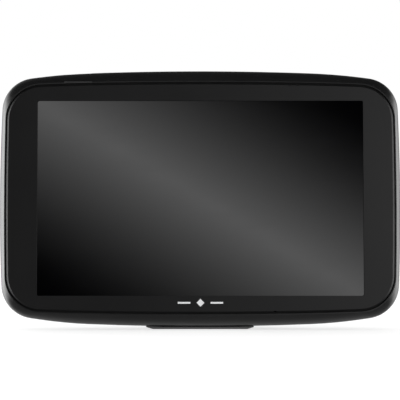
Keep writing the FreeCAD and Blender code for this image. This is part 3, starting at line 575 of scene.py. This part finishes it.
def lock_marks():
    """Raised turn marks: a long bar between two short ones, at the ring's top and bottom."""
    outer = RING_HIGH.x - MARK_GAP * MM

    def make(shape):
        for number, length in ((-1, 1.2), (0, 2.4), (1, 1.2)):
            angle = math.radians(90 + 9 * number)
            for side in (0, math.pi):
                ring_band(shape, RING_MIDDLE, "y", outer - length * MM, outer,
                          RING_HIGH.y - 0.02 * MM, RING_HIGH.y + 0.12 * MM,
                          steps=3, start=angle + side - MARK_TURN / 2, turn=MARK_TURN)
    solid("lock_marks", "mark_grey", "ring", make)


def stage():
    """Wide pale floor."""
    mesh = bpy.data.meshes.new("floor")
    shape = bmesh.new()
    bmesh.ops.create_grid(shape, x_segments=8, y_segments=8, size=FLOOR_HALF)
    shape.to_mesh(mesh)
    shape.free()
    floor = bpy.data.objects.new("floor", mesh)
    bpy.context.collection.objects.link(floor)
    g = Graph("floor")
    colour = g.mix(g.ramp(g.noise(120, 3), 0.3, 0.7), (0.39, 0.39, 0.39), (0.41, 0.41, 0.41))
    level = g.ramp(g.noise(40, 3), 0.3, 0.7, 0.75, 0.85)
    mesh.materials.append(g.finish(colour, level, Emission_Color=(1, 1, 1, 1),
                                   Emission_Strength=FLOOR_GLOW))
    floor.visible_glossy = False


def card(name, place, aim, width, height, strength):
    """Soft area lamp facing a point, unseen by the camera."""
    light = bpy.data.lights.new(name, "AREA")
    light.shape = "RECTANGLE"
    light.size = width
    light.size_y = height
    light.energy = strength * width * height * math.pi
    lamp = bpy.data.objects.new(name, light)
    bpy.context.collection.objects.link(lamp)
    lamp.location = place
    lamp.rotation_euler = (Vector(aim) - Vector(place)).to_track_quat("-Z", "Y").to_euler()
    lamp.visible_camera = False
    return lamp


def world():
    """White studio: plain white to the camera, an even dome for soft light, softboxes in reflections."""
    studio = bpy.data.worlds.new("studio")
    bpy.context.scene.world = studio
    tree = Tree(studio)
    tree.nodes.clear()
    parts = tree.add("ShaderNodeSeparateXYZ")
    tree.join(tree.add("ShaderNodeTexCoord").outputs["Generated"], parts.inputs[0])
    side, depth, up = parts.outputs
    glow = room_glow(tree, side, depth, up)
    path = tree.add("ShaderNodeLightPath")
    pick = tree.add("ShaderNodeMix", data_type="FLOAT")
    tree.fill(pick, 0, path.outputs["Is Diffuse Ray"])
    tree.fill(pick, 2, glow)
    tree.fill(pick, 3, DOME)
    seen = tree.add("ShaderNodeMix", data_type="FLOAT")
    tree.fill(seen, 0, path.outputs["Is Camera Ray"])
    tree.fill(seen, 2, pick.outputs[0])
    tree.fill(seen, 3, 1.0)
    background = tree.add("ShaderNodeBackground")
    background.inputs["Color"].default_value = (1, 1, 1, 1)
    tree.fill(background, "Strength", seen.outputs[0])
    output = tree.add("ShaderNodeOutputWorld")
    tree.join(background.outputs[0], output.inputs["Surface"])


def room_glow(tree, side, depth, up):
    """What shiny surfaces mirror: dark overhead, bright softboxes on both sides, one dim slanted
    sheet in front whose brightest line runs through the middle of the display."""
    level = tree.ramp(up, -0.9, 0.3, LOW_GLOW, HIGH_GLOW)
    level = tree.math("MULTIPLY", level, tree.ramp(depth, -0.97, -0.6, 0.04, 1.0, smooth=True))
    beside = tree.ramp(side, -0.4, -0.1, 1.0, 0.12, smooth=True)
    behind = tree.ramp(depth, 0.1, 0.9, 0.0, BACK_GLOW, smooth=True)
    level = tree.math("ADD", level, tree.math("MULTIPLY", behind, beside))
    low_band = tree.ramp(tree.math("ABSOLUTE", up), 0.62, 0.3, smooth=True)
    for direction, peak in ((-1, LEFT_BOX), (1, RIGHT_BOX)):
        reach = tree.math("MULTIPLY", side, direction)
        box = tree.math("POWER", tree.ramp(reach, 0.22, 0.97), BOX_FALL)
        box = tree.math("MULTIPLY", box, low_band)
        box = tree.math("MULTIPLY", box, tree.ramp(depth, -0.75, -0.2, 0.45, 1.0, smooth=True))
        level = tree.math("ADD", level, tree.math("MULTIPLY", box, peak))
    return tree.math("ADD", level, slanted_sheet(tree, side, depth, up))


def slanted_sheet(tree, side, depth, up):
    """Soft diagonal light in front, fading out before the display's other two corners."""
    distance = EYE_DISTANCE - (FRAME_HIGH.y - GLASS_FACE)
    eye_height = BODY_MIDDLE.z - EYE_DROP
    width = WINDOW_SIZE.x
    height = WINDOW_SIZE.z
    forward = tree.math("MAXIMUM", tree.math("MULTIPLY", depth, -1), 0.05)
    across = tree.math("MULTIPLY", tree.math("DIVIDE", side, forward), distance / width)
    across = tree.math("ADD", across, EYE_SIDE / width)
    rise = tree.math("MULTIPLY", tree.math("DIVIDE", up, forward), distance / height)
    rise = tree.math("ADD", rise, (eye_height - BODY_MIDDLE.z) / height)
    slant = tree.math("ABSOLUTE", tree.math("ADD", across, rise))
    sheet = tree.math("POWER", tree.ramp(slant, 0.0, SHEET_REACH, 1.0, 0.0), SHEET_FALL)
    sheet = tree.math("MULTIPLY", sheet, SHEET_PEAK)
    for reach in (across, rise):
        edge = tree.ramp(tree.math("ABSOLUTE", reach), 1.5, 0.6, smooth=True)
        sheet = tree.math("MULTIPLY", sheet, edge)
    return tree.math("MULTIPLY", sheet, tree.ramp(depth, -0.75, -0.9, smooth=True))


def lights():
    """Two mild lamps that model the front and the back; only the back one is hidden from the glass."""
    card("front_right", FRONT_LAMP, BODY_MIDDLE, 0.4, 0.18, 35)
    back = card("back_left", BACK_LAMP, BODY_MIDDLE, 0.8, 0.8, 2.2)
    back.visible_glossy = False


def camera():
    """Same view as the picture: square on, from slightly below and left of the middle."""
    data = bpy.data.cameras.new("camera")
    data.lens = LENS
    data.sensor_width = SENSOR
    data.clip_start = 0.01
    picture_width = data.sensor_width / data.lens * math.hypot(EYE_DISTANCE, EYE_DROP)
    data.shift_x = (PICTURE_SIDE - EYE_SIDE) / picture_width
    eye = bpy.data.objects.new("camera", data)
    bpy.context.collection.objects.link(eye)
    target = Vector((EYE_SIDE, FRAME_HIGH.y, BODY_MIDDLE.z + PICTURE_RISE))
    eye.location = target + Vector((0, -EYE_DISTANCE, -EYE_DROP))
    eye.rotation_euler = (target - eye.location).to_track_quat("-Z", "Y").to_euler()
    bpy.context.scene.camera = eye


dress_frame_nodes()
button_symbol()
cup_rib()
cup_face()
label_print()
tab_ribs()
lock_marks()
stage()
world()
lights()
camera()
bpy.context.scene.view_settings.view_transform = "Standard"
